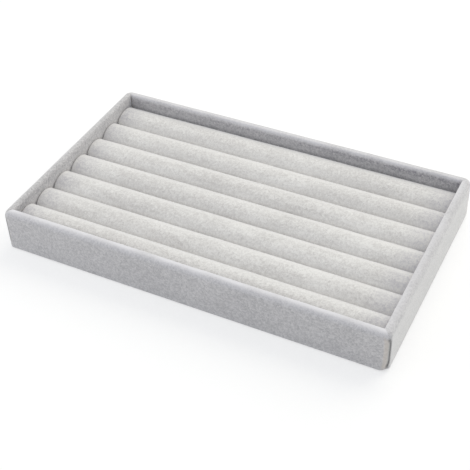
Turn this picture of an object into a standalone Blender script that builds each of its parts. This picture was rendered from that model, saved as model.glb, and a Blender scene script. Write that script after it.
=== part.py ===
"""Velvet ring tray: a shallow box of wrapped boards with a lift-out insert of padded rolls.

Metres, +Z up. The origin is the middle of the underside. The rolls run along X and the
front wall faces -Y. Run with: blender --background --python part.py
"""

import math

import bmesh
import bpy
from mathutils import Vector

# Overall sizes of the tray
TRAY_LENGTH = 0.300
TRAY_WIDTH = 0.180
TRAY_HEIGHT = 0.034

# Sheet and board thicknesses
VELVET_THICKNESS = 0.0010
WALL_BOARD_THICKNESS = 0.0040
BASE_BOARD_THICKNESS = 0.0030
UNDERSIDE_FELT_THICKNESS = 0.0010
FLOOR_LINING_THICKNESS = 0.0008
INSERT_BOARD_THICKNESS = 0.0015

# Clearances
SEAT_GAP = 0.0003
SEAM_GAP = 0.0004
INSERT_CLEARANCE = 0.0005

# Roundings of the wrapped walls
RIM_OUTER_RADIUS = 0.0032
RIM_INNER_RADIUS = 0.0019
FOOT_RADIUS = 0.0014
UPRIGHT_CORNER_RADIUS = 0.0030
CORNER_ROUNDING = 0.0045
CORNER_LEAD = 0.0019
HEM_DEPTH = 0.0060

# Roll insert
ROLL_COUNT = 7
ROLL_RECESS = 0.0076
BACK_ROLL_LIFT = 0.0005
FRONT_ROLL_LIFT = 0.0018
ROLL_SHIFT = 0.0018
ROLL_CROWN_RISE = 0.0087
ROLL_GAP = 0.0003
ROLL_DRAW_IN = 0.0005
ROLL_FOOT_RADIUS = 0.0016
ROLL_END_RADIUS = 0.0016
ROLL_HEM_WIDTH = 0.0045

# Corners of the cut sheets, and the smallest rounding that is drawn
SHEET_CORNER_RADIUS = 0.0020
LEAST_RADIUS = 0.0001

# How finely round stretches are cut
RIM_STEPS = 5
FOOT_STEPS = 3
CORNER_STEPS = 6
CROWN_STEPS = 18
FOAM_CROWN_STEPS = 12
SIDE_STEPS = 2
ROLL_END_STEPS = 3
BOARD_CORNER_STEPS = 6
SMOOTH_ANGLE = math.radians(40)

# Depths counted inwards from an outer face, and heights counted up from the underside
BOARD_INSET = VELVET_THICKNESS + SEAT_GAP
WALL_THICKNESS = 2 * BOARD_INSET + WALL_BOARD_THICKNESS
CORNER_RUN = max(WALL_THICKNESS, CORNER_ROUNDING, HEM_DEPTH) + CORNER_LEAD
BASE_BOTTOM = UNDERSIDE_FELT_THICKNESS + SEAT_GAP
BASE_TOP = BASE_BOTTOM + BASE_BOARD_THICKNESS
WALL_BOARD_FOOT = BASE_TOP + SEAT_GAP
WALL_BOARD_TOP = TRAY_HEIGHT - BOARD_INSET
LINING_BOTTOM = BASE_TOP + SEAT_GAP
INSERT_BOARD_BOTTOM = LINING_BOTTOM + FLOOR_LINING_THICKNESS + SEAT_GAP
ROLL_SEAT = INSERT_BOARD_BOTTOM + INSERT_BOARD_THICKNESS + SEAT_GAP
ROLL_HEIGHT = TRAY_HEIGHT - ROLL_RECESS - ROLL_SEAT

# Plan sizes that follow from them
INNER_LENGTH = TRAY_LENGTH - 2 * WALL_THICKNESS
INNER_WIDTH = TRAY_WIDTH - 2 * WALL_THICKNESS
INSERT_LENGTH = INNER_LENGTH - 2 * INSERT_CLEARANCE
INSERT_WIDTH = INNER_WIDTH - 2 * INSERT_CLEARANCE
ROLL_WIDTH = (INSERT_WIDTH - (ROLL_COUNT - 1) * ROLL_GAP) / ROLL_COUNT
ROLL_PITCH = ROLL_WIDTH + ROLL_GAP
DIAGONAL = math.sqrt(0.5)


def clear_scene():
    for existing in list(bpy.data.objects):
        bpy.data.objects.remove(existing, do_unlink=True)


def material(name, colour, roughness):
    """A matte, non-metallic surface of the given linear colour."""
    made = bpy.data.materials.new(name)
    made.use_nodes = True
    shader = made.node_tree.nodes["Principled BSDF"]
    shader.inputs["Base Color"].default_value = (*colour, 1)
    shader.inputs["Roughness"].default_value = roughness
    shader.inputs["Metallic"].default_value = 0
    made.diffuse_color = (*colour, 1)
    return made


def finished_mesh(name, bm, finish):
    """Turns a bmesh into mesh data, shaded smooth, with its faces pointing out."""
    bmesh.ops.recalc_face_normals(bm, faces=bm.faces)
    mesh = bpy.data.meshes.new(name)
    bm.to_mesh(mesh)
    bm.free()
    mesh.materials.append(finish)
    mesh.shade_smooth()
    mesh.set_sharp_from_angle(angle=SMOOTH_ANGLE)
    return mesh


def place(name, mesh, location=(0, 0, 0), turn=0, parent=None):
    """Puts a mesh into the scene as a named object, turned about Z."""
    made = bpy.data.objects.new(name, mesh)
    bpy.context.scene.collection.objects.link(made)
    made.parent = parent
    made.location = location
    made.rotation_euler = (0, 0, turn)
    return made


def arc(centre, radius, start, end, steps):
    """Points along a circular arc, in degrees, both ends included."""
    points = []
    for step in range(steps + 1):
        angle = math.radians(start + (end - start) * step / steps)
        points.append((centre[0] + radius * math.cos(angle), centre[1] + radius * math.sin(angle)))
    return points


def loft(rings):
    """A closed solid through rings of points: quads from ring to ring and a face on each end."""
    bm = bmesh.new()
    rows = [[bm.verts.new(point) for point in ring] for ring in rings]
    for row, following in zip(rows, rows[1:]):
        for index in range(len(row)):
            after = (index + 1) % len(row)
            bm.faces.new((row[index], row[after], following[after], following[index]))
    bm.faces.new(rows[0])
    bm.faces.new(rows[-1])
    return bm


def rise_of_round(distance, radius):
    """How far a round corner has drawn back, at a distance in from the corner's outer plane."""
    if distance >= radius:
        return 0
    return radius - math.sqrt(radius * radius - (radius - distance) ** 2)


def cover_profile():
    """Outline of a wall's velvet, as (depth in from the outer face, height).

    It runs from the turned-in hem, round the foot, up the outer face, over the rim and down
    the inner face, then back along the side that is glued to the board.
    """
    foot = max(FOOT_RADIUS, VELVET_THICKNESS + LEAST_RADIUS)
    rim_outer = max(RIM_OUTER_RADIUS, VELVET_THICKNESS + LEAST_RADIUS)
    rim_inner = max(RIM_INNER_RADIUS, VELVET_THICKNESS + LEAST_RADIUS)
    bends = (
        ((foot, foot), foot, 270, 180, FOOT_STEPS),
        ((rim_outer, TRAY_HEIGHT - rim_outer), rim_outer, 180, 90, RIM_STEPS),
        ((WALL_THICKNESS - rim_inner, TRAY_HEIGHT - rim_inner), rim_inner, 90, 0, RIM_STEPS),
    )
    shown = [(HEM_DEPTH, 0)]
    for centre, radius, start, end, steps in bends:
        shown += arc(centre, radius, start, end, steps)
    shown += [(WALL_THICKNESS, WALL_BOARD_FOOT)]
    glued = [(WALL_THICKNESS - VELVET_THICKNESS, WALL_BOARD_FOOT)]
    for centre, radius, start, end, steps in reversed(bends):
        glued += arc(centre, radius - VELVET_THICKNESS, end, start, steps)
    glued += [(HEM_DEPTH, VELVET_THICKNESS)]
    return shown + glued


def mitre_reach(depth):
    """Distance in from the neighbouring wall's outer plane at which a cover is cut to its mitre."""
    if depth >= UPRIGHT_CORNER_RADIUS:
        return depth
    return UPRIGHT_CORNER_RADIUS - (UPRIGHT_CORNER_RADIUS - depth) * DIAGONAL


def rounded_depth(depth, along):
    """Depth of a point of the cover once the upright corner is rounded, near the wall's end."""
    radius = UPRIGHT_CORNER_RADIUS
    if depth >= radius or along >= radius:
        return depth
    return radius - math.sqrt(max((radius - depth) ** 2 - (radius - along) ** 2, 0))


def cover_mesh(name, length, finish):
    """Velvet of one wall, with mitred ends, rounded uprights and rounded corners."""
    profile = cover_profile()
    rings = []
    for end in (-1, 1):
        ends = []
        for step in range(CORNER_STEPS + 1):
            ease = math.sin(math.radians(90) * step / CORNER_STEPS)
            ring = []
            for depth, height in profile:
                reach = mitre_reach(depth)
                along = CORNER_RUN + (reach - CORNER_RUN) * ease
                drawn = rise_of_round(along, CORNER_ROUNDING)
                level = height - drawn if height > TRAY_HEIGHT / 2 else height + drawn
                seam = SEAM_GAP * DIAGONAL * ease
                position = end * (length / 2 - along - seam)
                ring.append((position, rounded_depth(depth, along), level))
            ends.append(ring)
        rings += reversed(ends) if end < 0 else ends
    return finished_mesh(name, loft(rings), finish)


def block(length, width, height):
    """A block centred on X and Y, standing on its own ground plane."""
    bm = bmesh.new()
    bmesh.ops.create_cube(bm, size=1)
    bmesh.ops.scale(bm, vec=(length, width, height), verts=bm.verts)
    bmesh.ops.translate(bm, vec=(0, 0, height / 2), verts=bm.verts)
    return bm


def edges_where(bm, test):
    """Edges whose two ends pass a test."""
    return [edge for edge in bm.edges if test(edge.verts[0].co, edge.verts[1].co)]


def soften(bm, edges, radius, steps):
    """Rounds edges over with a bevel."""
    bmesh.ops.bevel(
        bm,
        geom=edges,
        offset=radius,
        offset_type="OFFSET",
        segments=steps,
        profile=0.5,
        affect="EDGES",
        material=-1,
        clamp_overlap=True,
    )


def sheet_mesh(name, length, width, thickness, corner_radius, finish):
    """A flat board or sheet with rounded plan corners."""
    bm = block(length, width, thickness)
    uprights = edges_where(bm, lambda start, end: abs(start.z - end.z) > thickness / 2)
    soften(bm, uprights, corner_radius, BOARD_CORNER_STEPS)
    return finished_mesh(name, bm, finish)


def board_radius(cover_radius):
    """Radius of a board's edge that keeps the seat gap under a cover rounded to its own radius."""
    return max(cover_radius - BOARD_INSET, LEAST_RADIUS)


def wall_board_mesh(name, length, reaches_corners, finish):
    """A wall's board, standing on the base board; the long walls' boards reach into the corners."""
    height = WALL_BOARD_TOP - WALL_BOARD_FOOT
    bm = block(length, WALL_BOARD_THICKNESS, height)
    if reaches_corners:
        top_ends = edges_where(
            bm, lambda start, end: min(start.z, end.z) > height / 2 and abs(start.y - end.y) > LEAST_RADIUS
        )
        soften(bm, top_ends, board_radius(CORNER_ROUNDING), BOARD_CORNER_STEPS)
    outer_rim = edges_where(
        bm,
        lambda start, end: max(start.y, end.y) < 0
        and max(start.z, end.z) > height / 2
        and (reaches_corners or min(start.z, end.z) > height / 2),
    )
    soften(bm, outer_rim, board_radius(max(UPRIGHT_CORNER_RADIUS, RIM_OUTER_RADIUS)), RIM_STEPS - 1)
    inner_rim = edges_where(
        bm,
        lambda start, end: min(start.y, end.y) > 0
        and min(start.z, end.z) > height / 2
        and (start - end).length > length / 2,
    )
    soften(bm, inner_rim, board_radius(RIM_INNER_RADIUS), FOOT_STEPS)
    return finished_mesh(name, bm, finish)


def roll_sizes(index):
    """Width, height and place across of a roll, counted from the back.

    The middle rolls sit a little nearer to the front than an even spacing would put them, so the
    back roll is wider, and the front roll is squeezed narrower and stands higher.
    """
    width, height = ROLL_WIDTH, ROLL_HEIGHT
    across = ((ROLL_COUNT - 1) / 2 - index) * ROLL_PITCH - ROLL_SHIFT
    if index == 0:
        width += ROLL_SHIFT
        height += BACK_ROLL_LIFT
        across += ROLL_SHIFT / 2
    elif index == ROLL_COUNT - 1:
        width -= ROLL_SHIFT
        height += FRONT_ROLL_LIFT
        across += ROLL_SHIFT / 2
    return width, height, across


def roll_section(width, height, inset, crown_steps):
    """Cross-section of a roll as (y, z), drawn in by an inset all round.

    The sides lean in a little towards the foot, and the crown is half an ellipse.
    """
    half = width / 2 - inset
    foot_half = half - ROLL_DRAW_IN
    spring = height - ROLL_CROWN_RISE
    crown = ROLL_CROWN_RISE - inset
    foot_radius = max(ROLL_FOOT_RADIUS - inset, LEAST_RADIUS)
    hem_edge = width / 2 - ROLL_DRAW_IN - ROLL_HEM_WIDTH
    right = [(hem_edge, inset)]
    right += arc((foot_half - foot_radius, inset + foot_radius), foot_radius, 270, 360, FOOT_STEPS)
    for step in range(1, SIDE_STEPS):
        share = step / SIDE_STEPS
        lean = ROLL_DRAW_IN * (1 - share) ** 2
        right.append((half - lean, inset + foot_radius + (spring - inset - foot_radius) * share))
    for step in range(crown_steps // 2):
        angle = math.pi * step / crown_steps
        right.append((half * math.cos(angle), spring + crown * math.sin(angle)))
    top = [(0, spring + crown)]
    left = [(-y, z) for y, z in reversed(right)]
    return right + top + left


def roll_rings(width, height, inset, crown_steps, end_steps, hem_reach):
    """Rings of a roll from end to end, with each end's edge rounded over."""
    half = INSERT_LENGTH / 2 - inset
    radius = max(ROLL_END_RADIUS - inset, LEAST_RADIUS)
    stations = [(INSERT_LENGTH / 2 - reach, inset) for reach in hem_reach]
    for step in range(end_steps + 1):
        angle = math.radians(90) * step / end_steps
        stations.append((half - radius * (1 - math.sin(angle)), inset + radius * (1 - math.cos(angle))))
    mirrored = [(-x, drawn) for x, drawn in reversed(stations)]
    rings = []
    for x, drawn in mirrored + stations:
        rings.append([(x, y, z) for y, z in roll_section(width, height, drawn, crown_steps)])
    return rings


def roll_skin_mesh(name, width, height, finish):
    """Outer face of a roll's sleeve, open below inside its glued hem; a Solidify gives it thickness."""
    bm = loft(roll_rings(width, height, 0, CROWN_STEPS, ROLL_END_STEPS, [ROLL_HEM_WIDTH]))
    opening_half = INSERT_LENGTH / 2 - ROLL_HEM_WIDTH
    below = []
    for face in bm.faces:
        middle = face.calc_center_median()
        if abs(middle.x) < opening_half and abs(middle.y) < ROLL_DRAW_IN and middle.z < LEAST_RADIUS:
            below.append(face)
    bmesh.ops.delete(bm, geom=below, context="FACES")
    return finished_mesh(name, bm, finish)


def roll_foam_mesh(name, width, height, finish):
    """Foam core of a roll, a clearance inside its sleeve."""
    bm = loft(roll_rings(width, height, BOARD_INSET, FOAM_CROWN_STEPS, ROLL_END_STEPS - 1, []))
    return finished_mesh(name, bm, finish)


def build_tray():
    velvet = material("tray_velvet", (0.56, 0.555, 0.58), 0.95)
    board = material("wall_board", (0.47, 0.36, 0.24), 0.8)
    base = material("base_board", (0.47, 0.36, 0.24), 0.8)
    felt = material("underside_felt", (0.36, 0.36, 0.37), 0.95)
    lining = material("floor_lining", (0.56, 0.555, 0.58), 0.95)

    felt_length = TRAY_LENGTH - 2 * (HEM_DEPTH + SEAT_GAP)
    felt_width = TRAY_WIDTH - 2 * (HEM_DEPTH + SEAT_GAP)
    felt_sheet = sheet_mesh(
        "underside_felt", felt_length, felt_width, UNDERSIDE_FELT_THICKNESS, SHEET_CORNER_RADIUS, felt
    )
    place("underside_felt", felt_sheet)

    base_corner = board_radius(CORNER_ROUNDING) / (1 - DIAGONAL)
    base_sheet = sheet_mesh(
        "base_board",
        TRAY_LENGTH - 2 * BOARD_INSET,
        TRAY_WIDTH - 2 * BOARD_INSET,
        BASE_BOARD_THICKNESS,
        base_corner,
        base,
    )
    place("base_board", base_sheet, (0, 0, BASE_BOTTOM))

    lining_sheet = sheet_mesh(
        "floor_lining",
        INNER_LENGTH - 2 * SEAT_GAP,
        INNER_WIDTH - 2 * SEAT_GAP,
        FLOOR_LINING_THICKNESS,
        SHEET_CORNER_RADIUS,
        lining,
    )
    place("floor_lining", lining_sheet, (0, 0, LINING_BOTTOM))

    long_cover = cover_mesh("long_wall_velvet", TRAY_LENGTH, velvet)
    short_cover = cover_mesh("short_wall_velvet", TRAY_WIDTH, velvet)
    long_board = wall_board_mesh("long_wall_board", TRAY_LENGTH - 2 * BOARD_INSET, True, board)
    between = TRAY_WIDTH - 2 * (BOARD_INSET + WALL_BOARD_THICKNESS + SEAT_GAP)
    short_board = wall_board_mesh("short_wall_board", between, False, board)
    board_depth = BOARD_INSET + WALL_BOARD_THICKNESS / 2
    walls = (
        ("front", 0, TRAY_WIDTH / 2, long_cover, long_board),
        ("right", 90, TRAY_LENGTH / 2, short_cover, short_board),
        ("back", 180, TRAY_WIDTH / 2, long_cover, long_board),
        ("left", 270, TRAY_LENGTH / 2, short_cover, short_board),
    )
    for side, degrees, distance, cover, core in walls:
        turn = math.radians(degrees)
        outward = Vector((math.sin(turn), -math.cos(turn), 0))
        place(f"{side}_wall_velvet", cover, outward * distance, turn)
        foot = outward * (distance - board_depth) + Vector((0, 0, WALL_BOARD_FOOT))
        place(f"{side}_wall_board", core, foot, turn)


def build_insert():
    velvet = material("roll_velvet", (0.70, 0.695, 0.67), 0.95)
    foam = material("roll_foam", (0.80, 0.79, 0.74), 0.9)
    card = material("insert_board", (0.42, 0.40, 0.37), 0.9)

    carrier = bpy.data.objects.new("insert", None)
    carrier.location = (0, 0, INSERT_BOARD_BOTTOM)
    bpy.context.scene.collection.objects.link(carrier)

    card_sheet = sheet_mesh(
        "insert_board", INSERT_LENGTH, INSERT_WIDTH, INSERT_BOARD_THICKNESS, SHEET_CORNER_RADIUS, card
    )
    place("insert_board", card_sheet, parent=carrier)

    for index in range(ROLL_COUNT):
        width, height, across = roll_sizes(index)
        seat = (0, across, ROLL_SEAT - INSERT_BOARD_BOTTOM)
        skin_name, core_name = f"roll_{index + 1}_velvet", f"roll_{index + 1}_foam"
        sleeve = place(skin_name, roll_skin_mesh(skin_name, width, height, velvet), seat, parent=carrier)
        thickness = sleeve.modifiers.new("velvet thickness", "SOLIDIFY")
        thickness.thickness = VELVET_THICKNESS
        thickness.offset = -1
        thickness.use_even_offset = True
        place(core_name, roll_foam_mesh(core_name, width, height, foam), seat, parent=carrier)


clear_scene()
build_tray()
build_insert()
bpy.context.view_layer.update()
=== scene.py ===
"""Velvet ring tray with a lift-out insert of seven rolls: its looks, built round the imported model."""

import math

import bmesh
import bpy
from mathutils import Matrix, Vector, noise


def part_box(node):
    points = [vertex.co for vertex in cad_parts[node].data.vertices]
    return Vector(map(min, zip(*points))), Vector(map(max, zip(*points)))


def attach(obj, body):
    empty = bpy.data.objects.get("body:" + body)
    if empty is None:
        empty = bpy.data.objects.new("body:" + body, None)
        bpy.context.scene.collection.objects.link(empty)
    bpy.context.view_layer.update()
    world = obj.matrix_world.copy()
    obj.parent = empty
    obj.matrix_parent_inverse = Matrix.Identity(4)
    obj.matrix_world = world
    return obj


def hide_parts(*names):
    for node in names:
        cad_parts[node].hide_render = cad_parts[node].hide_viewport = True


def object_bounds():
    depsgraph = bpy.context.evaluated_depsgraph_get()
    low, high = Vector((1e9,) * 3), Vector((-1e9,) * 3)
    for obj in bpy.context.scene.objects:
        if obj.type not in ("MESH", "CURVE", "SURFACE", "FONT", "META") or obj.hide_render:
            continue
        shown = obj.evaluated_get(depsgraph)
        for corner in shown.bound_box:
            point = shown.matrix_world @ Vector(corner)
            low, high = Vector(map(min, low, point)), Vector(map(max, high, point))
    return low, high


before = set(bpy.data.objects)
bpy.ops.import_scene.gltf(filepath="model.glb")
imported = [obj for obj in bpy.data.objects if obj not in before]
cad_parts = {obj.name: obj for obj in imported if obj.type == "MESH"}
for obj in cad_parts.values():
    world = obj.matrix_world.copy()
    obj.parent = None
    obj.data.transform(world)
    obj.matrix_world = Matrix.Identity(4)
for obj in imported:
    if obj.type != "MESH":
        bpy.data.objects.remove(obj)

cad_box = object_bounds()
MM = 0.001

# Base board
# A 3 mm panel of pressed wood fibre with rounded corners. The four wall boards stand on it
# and are glued down, and the felt hides its underside.


def add(tree, kind, inputs=None, **settings):
    """A shader node with its settings. Each input is a value, or the output that feeds it."""
    made = tree.nodes.new("ShaderNode" + kind)
    for name, value in settings.items():
        setattr(made, name, value)
    for name, value in (inputs or {}).items():
        if isinstance(value, bpy.types.NodeSocket):
            tree.links.new(value, made.inputs[name])
        else:
            made.inputs[name].default_value = value
    return made


def effect(name, inputs, outputs):
    """A shader node group with named sockets, and the sockets of its input and output nodes."""
    tree = bpy.data.node_groups.new(name, "ShaderNodeTree")
    for socket, (kind, value) in inputs.items():
        made = tree.interface.new_socket(name=socket, in_out="INPUT", socket_type="NodeSocket" + kind)
        if value is not None:
            made.default_value = value
    for socket, kind in outputs.items():
        tree.interface.new_socket(name=socket, in_out="OUTPUT", socket_type="NodeSocket" + kind)
    return tree, tree.nodes.new("NodeGroupInput").outputs, tree.nodes.new("NodeGroupOutput").inputs


def summed(tree, base, *parts):
    """The sum of some outputs, each times its weight, on top of a base value."""
    for output, weight in parts:
        base = add(tree, "Math", {0: output, 1: weight, 2: base}, operation="MULTIPLY_ADD").outputs[0]
    return base


def noise_at(tree, position, scale, detail=2.0, roughness=0.55, distortion=0.0):
    """Noise from 0 to 1, with its scale in features per metre."""
    settings = {"Scale": scale, "Detail": detail, "Roughness": roughness, "Distortion": distortion}
    return add(tree, "TexNoise", {"Vector": position, **settings}).outputs[0]


def mixed(tree, share, low, high):
    """A colour between two others."""
    return add(tree, "Mix", {0: share, 6: low, 7: high}, data_type="RGBA", clamp_factor=True).outputs[2]


def pressed_fibre_effect():
    """Short matted fibres with darker flecks, as in fibreboard and greyboard."""
    tree, given, result = effect(
        "pressed fibre",
        {
            "Position": ("Vector", None),
            "Colour": ("Color", (0.5, 0.4, 0.3, 1)),
            "Fleck colour": ("Color", (0.3, 0.2, 0.15, 1)),
            "Fibre scale": ("Float", 900.0),
            "Flecks": ("Float", 0.5),
        },
        {"Colour": "Color", "Roughness": "Float", "Height": "Float"},
    )
    laid_flat = add(tree, "Mapping", {"Vector": given["Position"], "Scale": (1.0, 1.0, 2.6)}).outputs[0]
    fibre = noise_at(tree, laid_flat, given["Fibre scale"], 4.0, 0.65, 0.6)
    cloud = noise_at(tree, given["Position"], 60.0)
    speck = add(
        tree,
        "MapRange",
        {"Value": noise_at(tree, laid_flat, 420.0, 3.0, 0.7, 1.2), "From Min": 0.56, "From Max": 0.70},
    ).outputs[0]
    share = summed(tree, -0.25, (fibre, 0.55), (cloud, 0.25), (speck, given["Flecks"]))
    tree.links.new(mixed(tree, share, given["Colour"], given["Fleck colour"]), result["Colour"])
    tree.links.new(summed(tree, 0.72, (fibre, 0.2)), result["Roughness"])
    tree.links.new(summed(tree, 0.2, (fibre, 0.7), (speck, -0.2)), result["Height"])
    return tree


def finish(name, group, values, bump, specular, sheen=0.0, sheen_roughness=0.5):
    """A matte material: an effect gives its colour, roughness and relief, the shader the rest.

    bump is the depth of the relief in metres.
    """
    made = bpy.data.materials.new(name)
    made.use_nodes = True
    tree = made.node_tree
    shader = tree.nodes["Principled BSDF"]
    position = add(tree, "TexCoord").outputs["Object"]
    surface = add(tree, "Group", {}, node_tree=group)
    tree.links.new(position, surface.inputs["Position"])
    for socket, value in values.items():
        surface.inputs[socket].default_value = value
    tree.links.new(surface.outputs["Colour"], shader.inputs["Base Color"])
    tree.links.new(surface.outputs["Roughness"], shader.inputs["Roughness"])
    relief = add(tree, "Bump", {"Height": surface.outputs["Height"], "Strength": 1.0, "Distance": bump})
    tree.links.new(relief.outputs["Normal"], shader.inputs["Normal"])
    shader.inputs["Specular IOR Level"].default_value = specular
    shader.inputs["Sheen Weight"].default_value = sheen
    shader.inputs["Sheen Roughness"].default_value = sheen_roughness
    return made


def refinish(node, material):
    """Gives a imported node, whose shape stays, its detailed material."""
    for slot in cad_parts[node].material_slots:
        slot.material = material


pressed_fibre = pressed_fibre_effect()
fibreboard = finish(
    "fibreboard",
    pressed_fibre,
    {
        "Colour": (0.49, 0.36, 0.23, 1),
        "Fleck colour": (0.27, 0.18, 0.11, 1),
        "Fibre scale": 1100.0,
        "Flecks": 0.45,
    },
    bump=0.08 * MM,
    specular=0.3,
)
refinish("base_board", fibreboard)

# Underside felt
# A thin needle-felt sheet with rounded corners, glued under the base board between the
# turned-in hems of the wall velvets.

FELT_CORNER = 2.0 * MM
FELT_EDGE = 0.25 * MM


def pile_effect():
    """Short dense pile: a fine grain, brushed patches, and a slow drift of shade over the cloth.

    The masks run from 0 to 1, in the order of the sockets below: painted light, painted
    shade, a paler and warmer strip along a seam's edge, and pile pressed into a seam with painted shade.
    """
    tree, given, result = effect(
        "short pile",
        {
            "Position": ("Vector", None),
            "Colour": ("Color", (0.6, 0.6, 0.6, 1)),
            "Shade": ("Color", (0.5, 0.5, 0.5, 1)),
            "Opened": ("Float", 0.0),
            "Opened colour": ("Color", (0.7, 0.7, 0.7, 1)),
            "Laid": ("Float", 0.0),
            "Laid colour": ("Color", (0.4, 0.4, 0.4, 1)),
            "Edge": ("Float", 0.0),
            "Edge colour": ("Color", (0.7, 0.7, 0.7, 1)),
            "Pressed": ("Float", 0.0),
            "Pressed colour": ("Color", (0.1, 0.1, 0.1, 1)),
            "Grain scale": ("Float", 2400.0),
            "Nap scale": ("Float", 380.0),
            "Grain": ("Float", 0.5),
            "Nap": ("Float", 0.5),
            "Brushed": ("Float", 0.3),
            "Drift": ("Float", 0.3),
        },
        {"Colour": "Color", "Roughness": "Float", "Height": "Float"},
    )
    stroked = add(tree, "Mapping", {"Vector": given["Position"], "Scale": (0.3, 1.0, 1.0)}).outputs[0]
    grain = noise_at(tree, given["Position"], given["Grain scale"], 3.0, 0.7)
    nap = noise_at(tree, given["Position"], given["Nap scale"], 3.0, 0.6, 0.5)
    brushed = noise_at(tree, stroked, 130.0, 2.0, 0.5, 0.8)
    drift = noise_at(tree, given["Position"], 17.0, 1.0)

    def centred(output):
        return summed(tree, -0.5, (output, 1.0))

    share = summed(
        tree,
        0.5,
        (centred(grain), given["Grain"]),
        (centred(nap), given["Nap"]),
        (centred(brushed), given["Brushed"]),
        (centred(drift), given["Drift"]),
    )
    cloth = mixed(tree, share, given["Shade"], given["Colour"])
    # Painted shade: a darker copy of the cloth that keeps its grain.
    painted_shading = mixed(tree, share, given["Laid colour"], mixed(tree, 0.5, given["Shade"], given["Colour"]))
    colour = mixed(tree, given["Laid"], cloth, painted_shading)
    # Flat colours over the cloth: painted light, the paler seam strip, and the pressed seam with painted
    # shade.
    for mask in ("Opened", "Edge", "Pressed"):
        colour = mixed(tree, given[mask], colour, given[f"{mask} colour"])
    tree.links.new(colour, result["Colour"])
    tree.links.new(summed(tree, 0.86, (grain, 0.12)), result["Roughness"])
    tree.links.new(summed(tree, 0.0, (grain, 0.55), (nap, 0.45)), result["Height"])
    return tree


def flat_sheet(name, node, corner, edge):
    """A flat sheet that fills a node's box, its corners rounded and its cut edges eased."""
    low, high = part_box(node)
    bm = bmesh.new()
    bmesh.ops.create_cube(bm, size=1.0)
    bmesh.ops.scale(bm, vec=high - low, verts=bm.verts)
    bmesh.ops.translate(bm, vec=(low + high) / 2, verts=bm.verts)
    uprights = [e for e in bm.edges if abs(e.verts[0].co.z - e.verts[1].co.z) > (high.z - low.z) / 2]
    bmesh.ops.bevel(bm, geom=uprights, affect="EDGES", offset=corner, segments=6, profile=0.5, material=-1)
    rims = [e for e in bm.edges if abs(e.calc_face_angle(0)) > math.radians(60)]
    bmesh.ops.bevel(bm, geom=rims, affect="EDGES", offset=edge, segments=2, profile=0.5, material=-1)
    return piece(name, bm)


def piece(name, bm):
    """A smooth-shaded object from a bmesh, at the origin."""
    mesh = bpy.data.meshes.new(name)
    bm.to_mesh(mesh)
    bm.free()
    mesh.shade_smooth()
    made = bpy.data.objects.new(name, mesh)
    bpy.context.scene.collection.objects.link(made)
    return made


short_pile = pile_effect()
needle_felt = finish(
    "needle felt",
    short_pile,
    {
        "Colour": (0.42, 0.42, 0.43, 1),
        "Shade": (0.26, 0.26, 0.27, 1),
        "Grain scale": 1500.0,
        "Nap scale": 260.0,
        "Grain": 1.1,
        "Nap": 0.9,
        "Brushed": 0.5,
    },
    bump=0.25 * MM,
    specular=0.15,
    sheen=0.15,
    sheen_roughness=0.6,
)
felt = flat_sheet("underside_felt_sheet", "underside_felt", FELT_CORNER, FELT_EDGE)
felt.data.materials.append(needle_felt)
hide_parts("underside_felt")
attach(felt, "tray")

# Wall boards
# Four 4 mm strips of the same fibreboard, glued upright on the base board. The long ones
# run the full length and the short ones fit between them.

for side in ("front", "back", "left", "right"):
    refinish(f"{side}_wall_board", fibreboard)

# Wall velvets
# Short-pile velvet glued over each board, outer face, rim and inner face in one piece, with a
# hem turned in below. The pieces meet in mitres over the rim. Down each upright one reaches
# round the corner, the long wall's except at the front left, and both turn in to an open seam.

WALL_HEIGHT = cad_box[1].z
WALL_DEPTH = 6.6 * MM
CLOTH = 1.0 * MM
HEM = 6.0 * MM
INNER_FOOT = 4.6 * MM
RIM_OUTER = 4.0 * MM
RIM_INNER = 1.3 * MM
FOOT = 1.4 * MM
UPRIGHT = 3.8 * MM
# At each corner, for the long wall's cover: the angle in degrees by which it passes the mitre,
# the width of the paler, warmer strip along its end, and the rounding of its foot.
SEAMS = {
    "front right": (31, 3.6 * MM, 6.4 * MM),
    "back right": (31, 3.6 * MM, 6.4 * MM),
    "back left": (31, 3.6 * MM, 5.6 * MM),
    "front left": (-17, 1.3 * MM, 3.0 * MM),
}
CORNER_ROUNDING = 5.6 * MM
CORNER_RUN = 8.5 * MM
DIAGONAL = math.sqrt(0.5)
OUTER_SEAM = 0.14 * MM
RIM_SEAM = 0.03 * MM
INNER_SEAM = 0.16 * MM
SEAM_TOP = WALL_HEIGHT - 0.8 * MM
SEAM_FADE = 3.0 * MM
SEAM_TURN_IN = 0.8 * MM
SEAM_TURN_WIDTH = 0.75 * MM
SEAM_CLOSING = 4 * SEAM_TURN_WIDTH
SEAM_START = 0.2 * MM
SEAM_FOOT = 2.4 * MM
LEAST_TURN = 0.2
WRAP_ABOVE_FOOT = 10 * MM
WRAP_BELOW_RIM = (1 * MM, 7 * MM)
CORNER_GATHER = 1.6
STRIP_BLUR = 0.5 * MM
STRIP_STRENGTH = 0.6
# Painted highlight on the wall rims: the band below the top where it lies, its share on the outer side,
# and how patchy it is.
RIM_LIGHT_BAND = (5.0 * MM, 0.3 * MM)
RIM_LIGHT_OUTSIDE = 0.4
RIM_LIGHT_DRIFT = 0.5
# Painted shade on the inner face: where it starts and where it ends below the top.
PAINTED_SHADE_FROM = (0.4 * MM, 2.5 * MM)
PAINTED_SHADE_UNTIL = (3.5 * MM, 9.0 * MM)
WALL_SOFTNESS = 0.13 * MM
SOFT_FROM_END = (2 * MM, 16 * MM)
SOFT_FROM_FOOT = 8 * MM
COVER_STEP = 2.6 * MM
COVER_LENGTH_STEP = 3.4 * MM
CORNER_STEPS = 14


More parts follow.
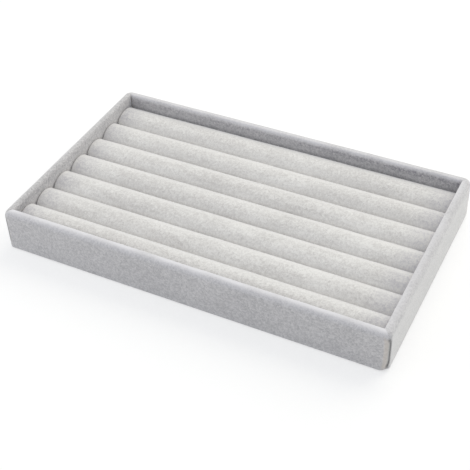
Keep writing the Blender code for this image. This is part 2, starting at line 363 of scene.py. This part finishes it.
def wire(bm, points, bends, longest):
    """A wire through a few points of the YZ plane, with bends {point: (radius, segments)}."""
    verts = [bm.verts.new((0, y, z)) for y, z in points]
    for pair in zip(verts, verts[1:]):
        bm.edges.new(pair)
    for index, (radius, segments) in bends.items():
        round_off(bm, [verts[index]], radius, segments)
    divide(bm, longest)


def divide(bm, longest):
    """Cuts a wire's long edges into even lengths."""
    for edge in bm.edges[:]:
        cuts = int(edge.calc_length() / longest)
        if cuts:
            bmesh.ops.subdivide_edges(bm, edges=[edge], cuts=cuts)


def round_off(bm, corners, radius, segments):
    """Rounds corners of a wire."""
    bmesh.ops.bevel(
        bm, geom=corners, affect="VERTICES", offset=radius, segments=segments, profile=0.5, material=-1
    )


def sweep(bm, start, stretches):
    """Carries a wire along X in stretches of (distance, steps)."""
    bmesh.ops.translate(bm, vec=(start, 0, 0), verts=bm.verts)
    moving = bm.verts[:] + bm.edges[:]
    for distance, steps in stretches:
        moving = bmesh.ops.spin(
            bm,
            geom=moving,
            cent=(0, 0, 0),
            axis=(1, 0, 0),
            angle=0,
            dvec=(distance / steps, 0, 0),
            steps=steps,
            use_merge=False,
        )["geom_last"]


def smooth_step(value, low, high):
    """Rises from 0 at low to 1 at high, with soft ends."""
    share = min(max((value - low) / (high - low), 0), 1)
    return share * share * (3 - 2 * share)


def drawn_back(distance, radius):
    """How far a rounding of some radius has drawn back, at a distance in from the plane it leaves."""
    if distance >= radius:
        return 0
    return radius - math.sqrt(radius * radius - (radius - distance) ** 2)


def corner_drop(along, depth, radius):
    """How far the rim falls, or the foot rises, over a corner rounded in every direction."""
    near, deep = max(radius - along, 0), max(radius - depth, 0)
    if not near or not deep:
        return 0
    inside = min(math.sqrt(2) * near * deep / math.hypot(near, deep), radius)
    return drawn_back(radius - inside, radius)


def shape_wall_end(vert, length, wrap, strip, foot_rounding):
    """Cuts a cover's end to its mitre, rounds its upright and corners, and turns in its seam.

    wrap is the angle in degrees by which the cover passes the mitre, between rim and foot, and
    strip is the width of the paler, warmer strip along its end. Gives back how deep the vertex lies
    in the seam, and whether it lies on that strip, each from 0 to 1.
    """
    depth, level = vert.co.y, vert.co.z
    along = max(length / 2 - abs(vert.co.x), 0)
    if along >= CORNER_RUN:
        return 0, 0
    upright_part = min(
        smooth_step(level, FOOT, WRAP_ABOVE_FOOT), smooth_step(WALL_HEIGHT - level, *WRAP_BELOW_RIM)
    )
    turn = math.radians(45 + wrap * upright_part)
    reach = depth if depth >= UPRIGHT else UPRIGHT - (UPRIGHT - depth) * math.sin(turn)
    from_seam = (CORNER_RUN - reach) * (along / CORNER_RUN) ** CORNER_GATHER
    along = reach + from_seam
    outside = 1 - smooth_step(depth, SEAM_START, FOOT)
    outside *= smooth_step(level, SEAM_START, SEAM_FOOT)
    if depth < UPRIGHT and along < UPRIGHT:
        depth = UPRIGHT - math.sqrt(max((UPRIGHT - depth) ** 2 - (UPRIGHT - along) ** 2, 0))
    middle = WALL_HEIGHT / 2
    radius = CORNER_ROUNDING if level > middle else foot_rounding
    level = middle + (level - middle) * (1 - corner_drop(along, depth, radius) / middle)
    inner_face = depth > WALL_DEPTH - RIM_INNER and level < WALL_HEIGHT - RIM_INNER
    seam = INNER_SEAM if inner_face else RIM_SEAM
    opened = outside * (1 - smooth_step(vert.co.z, SEAM_TOP - SEAM_FADE, SEAM_TOP))
    seam += (OUTER_SEAM - RIM_SEAM) * opened
    in_seam = opened * math.exp(-(from_seam / SEAM_TURN_WIDTH) ** 2)
    closing = 1 - smooth_step(from_seam, 0, SEAM_CLOSING)
    spread = math.cos(turn) if vert.co.y < UPRIGHT else 1 / DIAGONAL
    turned = SEAM_TURN_IN * in_seam * (LEAST_TURN + (1 - LEAST_TURN) * upright_part)
    along += turned * math.sin(turn) + seam * spread * closing
    depth += turned * math.cos(turn)
    vert.co = (math.copysign(length / 2 - along, vert.co.x), depth, level)
    if not strip:
        return in_seam, 0
    return in_seam, opened * (1 - smooth_step(from_seam, strip - STRIP_BLUR, strip + STRIP_BLUR))


def wall_cover(side, length, turn, seed, seams, painted_rim_light, painted_shading):
    """One wall's velvet, shaped at the front wall's place and then turned to its own.

    seams holds the wrap, the width of the paler seam strip and the foot's rounding at each end.
    The next argument is how much painted highlight the rim gets, and the last how much painted
    shade the inner face gets, at each end.
    """
    bm = bmesh.new()
    wire(
        bm,
        ((HEM, 0), (0, 0), (0, WALL_HEIGHT), (WALL_DEPTH, WALL_HEIGHT), (WALL_DEPTH, INNER_FOOT)),
        {1: (FOOT, 4), 2: (RIM_OUTER, 9), 3: (RIM_INNER, 7)},
        longest=COVER_STEP,
    )
    between = length - 2 * CORNER_RUN
    corner = (CORNER_RUN, CORNER_STEPS)
    sweep(bm, -length / 2, (corner, (between, round(between / COVER_LENGTH_STEP)), corner))
    opened = bm.verts.layers.float.new("opened")
    painted_shade = bm.verts.layers.float.new("painted_shade")
    edge = bm.verts.layers.float.new("edge")
    pressed = bm.verts.layers.float.new("pressed")
    for vert in bm.verts:
        # Painted highlight along the rim, stronger on its inner side, in uneven patches.
        rim = painted_rim_light * smooth_step(vert.co.z, WALL_HEIGHT - RIM_LIGHT_BAND[0], WALL_HEIGHT - RIM_LIGHT_BAND[1])
        rim *= RIM_LIGHT_OUTSIDE + (1 - RIM_LIGHT_OUTSIDE) * smooth_step(vert.co.y, 0, WALL_DEPTH)
        patch = noise.noise(Vector((vert.co.x * 60, seed, vert.co.y * 60)))
        vert[opened] = rim * (1 + RIM_LIGHT_DRIFT * patch)
        # Painted shade in a band down the inner face, below the rim, by the amount given at each end.
        past_rim = smooth_step(vert.co.y, WALL_DEPTH - RIM_INNER, WALL_DEPTH)
        over = painted_shading[0] + (painted_shading[1] - painted_shading[0]) * smooth_step(vert.co.x, -length / 2, length / 2)
        fallen = WALL_HEIGHT - vert.co.z
        band = past_rim * smooth_step(fallen, *PAINTED_SHADE_FROM) * (1 - smooth_step(fallen, *PAINTED_SHADE_UNTIL))
        vert[painted_shade] = over * band
        # The seam's groove: pile pressed into it, darkened further with painted shade.
        vert[pressed], on_edge = shape_wall_end(vert, length, *seams[0 if vert.co.x < 0 else 1])
        # A paler, warmer strip along the cover's end beside the seam.
        vert[edge] = STRIP_STRENGTH * on_edge
    bmesh.ops.recalc_face_normals(bm, faces=bm.faces)
    outermost = min(bm.faces, key=lambda face: face.calc_center_median().y)
    if outermost.normal.y > 0:
        bmesh.ops.reverse_faces(bm, faces=bm.faces)
    for vert in bm.verts:
        from_end = smooth_step(length / 2 - abs(vert.co.x), *SOFT_FROM_END)
        still = min(from_end, smooth_step(vert.co.z, 0, SOFT_FROM_FOOT))
        wave = noise.noise(Vector((vert.co.x * 28, seed * 7.3, vert.co.z * 40)))
        wave += 0.5 * noise.noise(Vector((vert.co.x * 85, seed * 3.1, vert.co.z * 90)))
        vert.co += vert.normal * WALL_SOFTNESS * wave * still
    distance = cad_box[1].y if side in ("front", "back") else cad_box[1].x
    bmesh.ops.translate(bm, vec=(0, -distance, 0), verts=bm.verts)
    bmesh.ops.rotate(bm, matrix=Matrix.Rotation(math.radians(turn), 3, "Z"), verts=bm.verts)
    made = piece(f"{side}_wall_cover", bm)
    thickness = made.modifiers.new("cloth thickness", "SOLIDIFY")
    thickness.thickness = CLOTH
    thickness.offset = -1
    return made


grey_velvet = finish(
    "grey velvet",
    short_pile,
    {
        "Colour": (0.66, 0.642, 0.645, 1),
        "Shade": (0.37, 0.36, 0.37, 1),
        # Flat colours of the painted highlight, the painted shade, the paler seam strip, and the pressed
        # seam with painted shade.
        "Opened colour": (0.79, 0.78, 0.815, 1),
        "Laid colour": (0.05, 0.044, 0.085, 1),
        "Edge colour": (0.66, 0.585, 0.515, 1),
        "Pressed colour": (0.035, 0.028, 0.026, 1),
        "Grain scale": 1500.0,
        "Nap scale": 640.0,
        "Grain": 2.0,
        "Nap": 2.6,
        "Brushed": 0.35,
        "Drift": 0.3,
    },
    bump=0.16 * MM,
    specular=0.12,
    sheen=1.0,
    sheen_roughness=0.6,
)


def read_pile(material, **masks):
    """Feeds the effect the mesh's own masks, by the name of the socket that each goes to."""
    tree = material.node_tree
    surface = next(n for n in tree.nodes if n.type == "GROUP")
    for socket, attribute in masks.items():
        mask = add(tree, "Attribute", attribute_name=attribute).outputs["Fac"]
        tree.links.new(mask, surface.inputs[socket])


read_pile(grey_velvet, Opened="opened", Laid="painted_shade", Edge="edge", Pressed="pressed")
# Each wall, turned a quarter on from the one before: its corners from left to right, seen from
# outside, how much painted highlight its rim gets, and how much painted shade its inner face gets at each
# end.
WALLS = (
    ("front", ("front left", "front right"), 1.0, (0.4, 0.4)),
    ("right", ("front right", "back right"), 0.6, (0.4, 0.4)),
    ("back", ("back right", "back left"), 0.6, (1.0, 0.42)),
    ("left", ("back left", "front left"), 0.0, (0.28, 0.52)),
)
for number, (side, corners, painted_rim_light, painted_shading) in enumerate(WALLS):
    long_wall = side in ("front", "back")
    length = 2 * (cad_box[1].x if long_wall else cad_box[1].y)
    seams = []
    for corner in corners:
        wrap, strip, foot_rounding = SEAMS[corner]
        seams.append((wrap, strip, foot_rounding) if long_wall else (-wrap, 0, foot_rounding))
    cover = wall_cover(side, length, 90 * number, number + 1, seams, painted_rim_light, painted_shading)
    cover.data.materials.append(grey_velvet)
    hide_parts(f"{side}_wall_velvet")
    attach(cover, "tray")

# Floor lining
# A thin sheet of the wall velvet laid on the base board, inside the walls. The insert stands
# on it, and it shows only when the insert is lifted out.

LINING_CORNER = 1.6 * MM
LINING_EDGE = 0.2 * MM

lining = flat_sheet("floor_lining_sheet", "floor_lining", LINING_CORNER, LINING_EDGE)
lining.data.materials.append(grey_velvet)
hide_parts("floor_lining")
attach(lining, "tray")

# Insert board
# A 1.5 mm sheet of greyboard that carries the rolls, which are glued down side by side on it,
# so that all seven lift out of the tray together.

greyboard = finish(
    "greyboard",
    pressed_fibre,
    {
        "Colour": (0.44, 0.42, 0.385, 1),
        "Fleck colour": (0.25, 0.235, 0.215, 1),
        "Fibre scale": 1500.0,
        "Flecks": 0.7,
    },
    bump=0.05 * MM,
    specular=0.3,
)
refinish("insert_board", greyboard)

# Roll foams
# Seven rods of open-cell foam with a flat foot and a crowned top. Each is the springy core
# of one roll, wholly inside its velvet sleeve.

ROLLS = 7
ROLL_RISE = 8.7 * MM
ROLL_FOOT = 1.6 * MM
ROLL_LEAN = 0.5 * MM
ROLL_END = 1.5 * MM
FOAM_INSET = 1.3 * MM
CROWN_LIFT = (0.0, 0.1 * MM, 0.0, 0.1 * MM, 0.0, 0.4 * MM, 0.1 * MM)
CROWN_WAVE = 0.22 * MM
SIDE_WAVE = 0.12 * MM
LEAST_FOOT = 0.2 * MM
LEAST_END = 0.6 * MM
SECTION_STEP = 2.4 * MM
END_STEPS = 5
FOAM_CROWN_STEPS = 20
FOAM_STEP = 8 * MM


def foam_effect():
    """Open cells: round pits of uneven size in a pale skeleton, with painted shade inside the pits."""
    tree, given, result = effect(
        "open cells",
        {
            "Position": ("Vector", None),
            "Colour": ("Color", (0.8, 0.78, 0.7, 1)),
            "Painted pit shade": ("Color", (0.5, 0.47, 0.4, 1)),
            "Cell scale": ("Float", 1300.0),
        },
        {"Colour": "Color", "Roughness": "Float", "Height": "Float"},
    )
    cells = add(tree, "TexVoronoi", {"Vector": given["Position"], "Scale": given["Cell scale"]})
    from_centre = cells.outputs["Distance"]
    pits = add(tree, "MapRange", {"Value": from_centre, "From Min": 0.1, "From Max": 0.55}).outputs[0]
    cloud = noise_at(tree, given["Position"], 70.0)
    share = summed(tree, 0.05, (pits, 0.75), (cloud, 0.25))
    # Painted shade in the pits.
    tree.links.new(mixed(tree, share, given["Painted pit shade"], given["Colour"]), result["Colour"])
    tree.links.new(summed(tree, 0.8, (cloud, 0.15)), result["Roughness"])
    tree.links.new(pits, result["Height"])
    return tree


def roll_body(index, inset, crown_steps, length_step):
    """A roll's closed form at its place, drawn in by an inset all round."""
    low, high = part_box(f"roll_{index + 1}_velvet")
    half = (high.y - low.y) / 2 - inset
    height = high.z - low.z - 2 * inset
    rise = ROLL_RISE - inset
    spring = height - rise
    length = high.x - low.x - 2 * inset
    bm = bmesh.new()
    first = bm.verts.new((0, half, spring))
    bmesh.ops.spin(
        bm,
        geom=[first],
        cent=(0, 0, spring),
        axis=(1, 0, 0),
        angle=math.pi,
        dvec=(0, 0, 0),
        steps=crown_steps,
        use_merge=False,
    )
    bmesh.ops.scale(bm, vec=(1, 1, rise / half), space=Matrix.Translation((0, 0, -spring)), verts=bm.verts)
    last = min(bm.verts, key=lambda vert: vert.co.y)
    feet = [bm.verts.new((0, way * (half - ROLL_LEAN), 0)) for way in (1, -1)]
    for ends in ((first, feet[0]), (feet[0], feet[1]), (feet[1], last)):
        bm.edges.new(ends)
    round_off(bm, feet, max(ROLL_FOOT - inset, LEAST_FOOT), 3)
    divide(bm, SECTION_STEP)
    end = max(ROLL_END - inset, LEAST_END)
    between = length - 2 * end
    ending = (end, END_STEPS)
    sweep(bm, -length / 2, (ending, (between, round(between / length_step)), ending))
    bmesh.ops.holes_fill(bm, edges=[e for e in bm.edges if e.is_boundary], sides=0)
    bmesh.ops.recalc_face_normals(bm, faces=bm.faces)
    for vert in bm.verts:
        shape_roll(vert, index, half, height, rise, length, end)
    place = ((low.x + high.x) / 2, (low.y + high.y) / 2, low.z + inset)
    bmesh.ops.translate(bm, vec=place, verts=bm.verts)
    return bm


def shape_roll(vert, index, half, height, rise, length, end):
    """Rounds a roll over at its ends and gives its crown an uneven, hand-filled height."""
    from_end = max(length / 2 - abs(vert.co.x), 0)
    inset = drawn_back(from_end, end) if from_end < end else 0
    vert.co.y *= 1 - inset / half
    vert.co.z = height / 2 + (vert.co.z - height / 2) * (1 - 2 * inset / height)
    crown = max(vert.co.z - (height - rise), 0) / rise
    wave = noise.noise(Vector((vert.co.x * 24, index * 5.7, 0)))
    wave += 0.45 * noise.noise(Vector((vert.co.x * 70, index * 9.1, vert.co.y * 90)))
    vert.co.z += crown * (CROWN_LIFT[index] + CROWN_WAVE * wave)
    vert.co.y += SIDE_WAVE * noise.noise(Vector((vert.co.x * 35, index * 2.3, 4.0)))


open_cells = foam_effect()
cream_foam = finish(
    "cream foam",
    open_cells,
    {"Colour": (0.80, 0.77, 0.68, 1), "Painted pit shade": (0.46, 0.43, 0.35, 1), "Cell scale": 1250.0},
    bump=0.3 * MM,
    specular=0.2,
)
for index in range(ROLLS):
    foam = piece(f"roll_{index + 1}_core", roll_body(index, FOAM_INSET, FOAM_CROWN_STEPS, FOAM_STEP))
    foam.data.materials.append(cream_foam)
    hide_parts(f"roll_{index + 1}_foam")
    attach(foam, "insert")

# Roll sleeves
# Pale velvet drawn tightly over each foam rod, its ends folded down and closed, its edges
# glued in under the foam. Rings stand in the grooves where neighbouring sleeves press together.

SLEEVE_HEM = 4.5 * MM
SLEEVE_STEP = 3.2 * MM
SLEEVE_CROWN_STEPS = 32
# Painted shade at the rolls' ends: where it fades out from the end, and its share at the left end.
PAINTED_END_SHADE = (2 * MM, 26 * MM)
LEFT_END_SHARE = 0.8
# Painted light on the rolls: an even share everywhere that flattens the grain, more on the flanks, and a
# painted highlight on the back of the crest.
FLAT_TONE_EVERYWHERE = 0.25
PAINTED_LIGHT_FLANKS = 0.25
PAINTED_HIGHLIGHT_CREST_BACK = 0.35
FLANKS = (1.5 * MM, 4.5 * MM)
CREST_BACK = (0.5 * MM, 5 * MM)
CREST_DEPTH = 4 * MM

pale_velvet = finish(
    "pale velvet",
    short_pile,
    {
        "Colour": (0.855, 0.842, 0.822, 1),
        "Shade": (0.505, 0.482, 0.468, 1),
        # Flat colours of the painted light and the painted shade.
        "Opened colour": (0.815, 0.80, 0.785, 1),
        "Laid colour": (0.36, 0.35, 0.41, 1),
        "Grain scale": 1100.0,
        "Nap scale": 520.0,
        "Grain": 1.8,
        "Nap": 2.2,
        "Brushed": 0.9,
        "Drift": 0.6,
    },
    bump=0.13 * MM,
    specular=0.12,
    sheen=1.0,
    sheen_roughness=0.6,
)
read_pile(pale_velvet, Opened="opened", Laid="painted_shade")
for index in range(ROLLS):
    bm = roll_body(index, 0.0, SLEEVE_CROWN_STEPS, SLEEVE_STEP)
    low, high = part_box(f"roll_{index + 1}_velvet")
    middle = (low.y + high.y) / 2
    below = []
    for face in bm.faces:
        centre = face.calc_center_median()
        inside = abs(centre.x) < high.x - SLEEVE_HEM
        inside = inside and abs(centre.y - middle) < (high.y - low.y) / 2 - SLEEVE_HEM
        if centre.z < low.z + 0.1 * MM and inside and abs(face.normal.z) > 0.9:
            below.append(face)
    bmesh.ops.delete(bm, geom=below, context="FACES")
    opened = bm.verts.layers.float.new("opened")
    painted_shade = bm.verts.layers.float.new("painted_shade")
    for vert in bm.verts:
        fallen = high.z - vert.co.z
        behind = smooth_step(vert.co.y - middle, *CREST_BACK) * (1 - smooth_step(fallen, 0, CREST_DEPTH))
        flank = smooth_step(fallen, *FLANKS)
        # Painted light on the flanks and a painted highlight on the crest's back, kept as the opened mask.
        vert[opened] = FLAT_TONE_EVERYWHERE + PAINTED_LIGHT_FLANKS * flank + PAINTED_HIGHLIGHT_CREST_BACK * behind
        # Painted shadow of the walls over the rolls' ends, weaker at the left end.
        vert[painted_shade] = 1 - smooth_step(high.x - abs(vert.co.x), *PAINTED_END_SHADE)
        vert[painted_shade] *= LEFT_END_SHARE if vert.co.x < 0 else 1
    sleeve = piece(f"roll_{index + 1}_sleeve", bm)
    thickness = sleeve.modifiers.new("cloth thickness", "SOLIDIFY")
    thickness.thickness = CLOTH
    thickness.offset = -1
    thickness.use_even_offset = True
    sleeve.data.materials.append(pale_velvet)
    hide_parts(f"roll_{index + 1}_velvet")
    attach(sleeve, "insert")

# Floor, light and camera
# A plain pale floor under soft daylight: a wide warm lamp high behind the tray, a weak fill
# lamp at its front left, and a cool even sky. The camera stands in front, 41 degrees above it.

FLOOR_SIZE = 12.0
FLOOR_DROP = 0.2 * MM
FLOOR_TONE = (0.88, 0.88, 0.88, 1)
FLOOR_SEEN_TONE = (0.50, 0.50, 0.50, 1)
FLOOR_LIFT = 0.56
SKY = (0.93, 0.96, 1.0, 1)
SKY_STRENGTH = 0.66
WIDE_LAMP = {
    "colour": (1.0, 0.953, 0.82),
    "direction": Vector((0.19, 0.685, 0.70)),
    "distance": 1.7,
    "size": 1.5,
    "power": 15.5,
}
FILL_LAMP = {
    "colour": (1.0, 0.98, 0.98),
    "direction": Vector((-0.62, -0.62, 0.48)),
    "distance": 0.65,
    "size": 0.5,
    "power": 0.4,
}
AZIMUTH = math.radians(27.74)
ELEVATION = math.radians(40.81)
CAMERA_ROLL = math.radians(-2.10)
TARGET = Vector((-0.00127, -0.00738, 0))
CAMERA_DISTANCE = 0.766
LENS = 77.54


def seen_directly(tree):
    """1 for what the camera, a reflection or a clear material sees, 0 for the light that surfaces get."""
    path = add(tree, "LightPath").outputs
    either = add(
        tree, "Math", {0: path["Is Camera Ray"], 1: path["Is Glossy Ray"]}, operation="MAXIMUM"
    ).outputs[0]
    return add(tree, "Math", {0: either, 1: path["Is Transmission Ray"]}, operation="MAXIMUM").outputs[0]


bm = bmesh.new()
bmesh.ops.create_grid(bm, x_segments=1, y_segments=1, size=FLOOR_SIZE / 2)
bmesh.ops.translate(bm, vec=(0, 0, -FLOOR_DROP), verts=bm.verts)
floor = piece("floor", bm)
floor_finish = bpy.data.materials.new("pale floor")
floor_finish.use_nodes = True
tree = floor_finish.node_tree
tree.nodes.remove(tree.nodes["Principled BSDF"])
lit = add(tree, "BsdfDiffuse", {"Color": FLOOR_TONE}).outputs[0]
seen = add(tree, "BsdfDiffuse", {"Color": FLOOR_SEEN_TONE}).outputs[0]
lifted = add(tree, "Emission", {"Color": (1, 1, 1, 1), "Strength": FLOOR_LIFT}).outputs[0]
paler = add(tree, "AddShader", {0: seen, 1: lifted}).outputs[0]
blend = add(tree, "MixShader", {0: seen_directly(tree), 1: lit, 2: paler}).outputs[0]
tree.links.new(blend, tree.nodes["Material Output"].inputs["Surface"])
floor.data.materials.append(floor_finish)

world = bpy.data.worlds.new("sky")
bpy.context.scene.world = world
world.use_nodes = True
tree = world.node_tree
sky = tree.nodes["Background"]
sky.inputs["Color"].default_value = SKY
sky.inputs["Strength"].default_value = SKY_STRENGTH
white = add(tree, "Background", {"Color": (1, 1, 1, 1), "Strength": 1.0}).outputs[0]
blend = add(tree, "MixShader", {0: seen_directly(tree), 1: sky.outputs[0], 2: white}).outputs[0]
tree.links.new(blend, tree.nodes["World Output"].inputs["Surface"])


def lamp(name, colour, direction, distance, size, power):
    """A square lamp that faces the tray."""
    data = bpy.data.lights.new(name, "AREA")
    data.shape = "SQUARE"
    data.size = size
    data.energy = power
    data.color = colour
    made = bpy.data.objects.new(name, data)
    bpy.context.scene.collection.objects.link(made)
    made.location = direction.normalized() * distance
    made.rotation_euler = direction.to_track_quat("Z", "Y").to_euler()


lamp("wide lamp", **WIDE_LAMP)
lamp("fill lamp", **FILL_LAMP)

back = Vector(
    (
        math.sin(AZIMUTH) * math.cos(ELEVATION),
        -math.cos(AZIMUTH) * math.cos(ELEVATION),
        math.sin(ELEVATION),
    )
)
camera_data = bpy.data.cameras.new("camera")
camera_data.lens = LENS
camera_data.sensor_width = 36
camera_data.clip_start = 0.01
camera = bpy.data.objects.new("camera", camera_data)
bpy.context.scene.collection.objects.link(camera)
upright = back.to_track_quat("Z", "Y").to_matrix()
camera.matrix_world = (
    Matrix.Translation(TARGET + back * CAMERA_DISTANCE)
    @ (upright @ Matrix.Rotation(CAMERA_ROLL, 3, "Z")).to_4x4()
)
bpy.context.scene.camera = camera
bpy.context.scene.view_settings.view_transform = "Standard"
